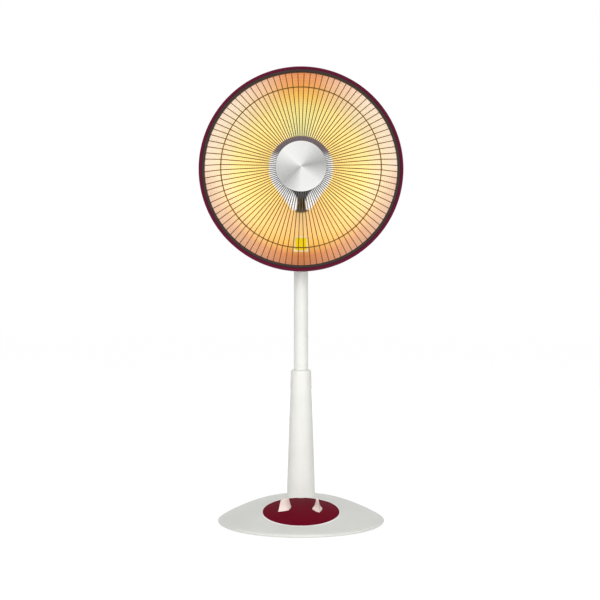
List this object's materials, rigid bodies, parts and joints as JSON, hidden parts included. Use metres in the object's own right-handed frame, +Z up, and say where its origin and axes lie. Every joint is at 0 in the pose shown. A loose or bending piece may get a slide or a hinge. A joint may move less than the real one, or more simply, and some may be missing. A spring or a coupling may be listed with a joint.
{
  "type": "pedestal dish heater",
  "caption": "Radiant dish heater: a lamp behind a chrome cowl, a bowl reflector and a wire guard, on a telescopic post and a round weighted base.",
  "frame": {"origin": "centre of the round base, on the floor", "axes": "+Z up, -Y towards the person being warmed, +X to the right seen from the front"},
  "size_m": [0.4, 0.33, 0.897],
  "materials": {
    "base_shell": "satin white moulding",
    "base_plate": "dark bottom cover",
    "base_weight": "bare plate",
    "rubber_feet": "matte",
    "base_screws": "zinc plated",
    "control_panel": "glossy burgundy",
    "timer_unit": "moulded can",
    "power_switch": "moulded can",
    "tip_switch": "moulded",
    "tip_spring": "spring wire",
    "terminal_block": "moulded",
    "cord_gland": "soft black",
    "column": "satin white moulding",
    "column_screws": "zinc plated",
    "guide_bush": "moulded",
    "clamp_nut": "turned",
    "timer_knob": "satin off-white",
    "timer_shaft": "turned",
    "power_knob": "satin off-white",
    "power_shaft": "turned",
    "tip_plunger": "moulded",
    "clamp_pad": "moulded",
    "clamp_screw": "zinc plated",
    "clamp_knob": "moulded",
    "upper_tube": "gloss white paint",
    "tube_bush": "moulded",
    "neck_housing": "satin white moulding",
    "neck_cover": "satin white moulding",
    "neck_screws": "zinc plated",
    "swing_motor": "plated can",
    "spindle_bush": "turned",
    "motor_shaft": "turned",
    "swing_crank": "turned",
    "crank_link": "moulded",
    "swing_spindle": "turned",
    "rocker_arm": "pressed",
    "yoke": "gloss white paint",
    "yoke_screws": "zinc plated",
    "tilt_bolt": "zinc plated",
    "tilt_nut": "zinc plated",
    "tilt_block": "moulded",
    "block_screws": "zinc plated",
    "back_shell": "glossy burgundy",
    "heat_shield": "bare sheet",
    "reflector": "bright spun bowl lit by the lamp",
    "front_ring": "glossy burgundy",
    "ring_screws": "zinc plated",
    "guard_rim": "dark coated",
    "wire_guard": "dark coated wire",
    "guard_hub": "dark coated",
    "centre_badge": "radially brushed",
    "lamp_cowl": "mirror pressed sheet",
    "cowl_posts": "turned",
    "lamp_bracket": "pressed strip",
    "lamp_caps": "unglazed",
    "lamp_tube": "clear quartz",
    "lamp_filament": "glowing coil",
    "thermal_cutout": "moulded",
    "blank_tag": "plain yellow tag"
  },
  "bodies": {
    "stand": {"base_shell": "base_shell", "base_plate": "base_plate", "base_weight": "base_weight", "rubber_feet": "rubber_feet", "base_screws": "base_screws", "control_panel": "control_panel", "timer_unit": "timer_unit", "power_switch": "power_switch", "tip_switch": "tip_switch", "tip_spring": "tip_spring", "terminal_block": "terminal_block", "cord_gland": "cord_gland", "column": "column", "column_screws": "column_screws", "guide_bush": "guide_bush", "clamp_nut": "clamp_nut"},
    "timer_dial": {"timer_knob": "timer_knob", "timer_shaft": "timer_shaft"},
    "power_dial": {"power_knob": "power_knob", "power_shaft": "power_shaft"},
    "tip_plunger": {"tip_plunger": "tip_plunger"},
    "clamp_pad": {"clamp_pad": "clamp_pad"},
    "clamp_screw": {"clamp_screw": "clamp_screw", "clamp_knob": "clamp_knob"},
    "mast": {"upper_tube": "upper_tube", "tube_bush": "tube_bush", "neck_housing": "neck_housing", "neck_cover": "neck_cover", "neck_screws": "neck_screws", "swing_motor": "swing_motor", "spindle_bush": "spindle_bush"},
    "swing_crank": {"motor_shaft": "motor_shaft", "swing_crank": "swing_crank"},
    "crank_link": {"crank_link": "crank_link"},
    "swivel": {"swing_spindle": "swing_spindle", "rocker_arm": "rocker_arm", "yoke": "yoke", "yoke_screws": "yoke_screws", "tilt_bolt": "tilt_bolt", "tilt_nut": "tilt_nut"},
    "head": {"tilt_block": "tilt_block", "block_screws": "block_screws", "back_shell": "back_shell", "heat_shield": "heat_shield", "reflector": "reflector", "front_ring": "front_ring", "ring_screws": "ring_screws", "guard_rim": "guard_rim", "wire_guard": "wire_guard", "guard_hub": "guard_hub", "centre_badge": "centre_badge", "lamp_cowl": "lamp_cowl", "cowl_posts": "cowl_posts", "lamp_bracket": "lamp_bracket", "lamp_caps": "lamp_caps", "lamp_tube": "lamp_tube", "lamp_filament": "lamp_filament", "thermal_cutout": "thermal_cutout", "blank_tag": "blank_tag"}
  },
  "joints": [
    {"name": "timer_turn", "type": "hinge", "parent": "stand", "child": "timer_dial", "pos_m": [-0.032, -0.03817, 0.03046], "axis": [0, 0.1857, -0.9826], "range_deg": [0, 300]},
    {"name": "power_turn", "type": "hinge", "parent": "stand", "child": "power_dial", "pos_m": [0.032, -0.03817, 0.03046], "axis": [0, 0.1857, -0.9826], "range_deg": [0, 270]},
    {"name": "tip_travel", "type": "slide", "parent": "stand", "child": "tip_plunger", "axis": [0, 0, 1], "range_m": [-0.004, 0], "stiffness_N_per_m": 150, "springref_m": -0.01, "deforming": ["tip_spring"]},
    {"name": "pad_slide", "type": "slide", "parent": "stand", "child": "clamp_pad", "axis": [0, 1, 0], "range_m": [0, 0.002]},
    {"name": "clamp_turn", "type": "hinge", "parent": "clamp_pad", "child": "clamp_screw", "pos_m": [0, 0.09, 0.272], "axis": [0, 1, 0], "range_deg": [0, 720]},
    {"name": "height_slide", "type": "slide", "parent": "stand", "child": "mast", "axis": [0, 0, 1], "range_m": [-0.1, 0.08]},
    {"name": "head_swing", "type": "hinge", "parent": "mast", "child": "swivel", "pos_m": [0, 0.055, 0.574], "axis": [0, 0, 1], "range_deg": [-30, 30]},
    {"name": "crank_turn", "type": "hinge", "parent": "mast", "child": "swing_crank", "pos_m": [0, 0.094, 0.56], "axis": [0, 0, 1], "range_deg": [-47.5, 47.5]},
    {"name": "link_turn", "type": "hinge", "parent": "swing_crank", "child": "crank_link", "pos_m": [0.00829, 0.09538, 0.562], "axis": [0, 0, 1], "range_deg": [-45.1, 45.1]},
    {"name": "head_tilt", "type": "hinge", "parent": "swivel", "child": "head", "pos_m": [0, 0.055, 0.612], "axis": [-1, 0, 0], "range_deg": [-10, 25]}
  ],
  "couplings": [
    {"joint": "pad_slide", "follows": "clamp_turn", "m_per_rad": 0.000159},
    {"joint": "crank_turn", "follows": "head_swing", "ratio": 1.58},
    {"joint": "link_turn", "follows": "head_swing", "ratio": -1.5}
  ]
}
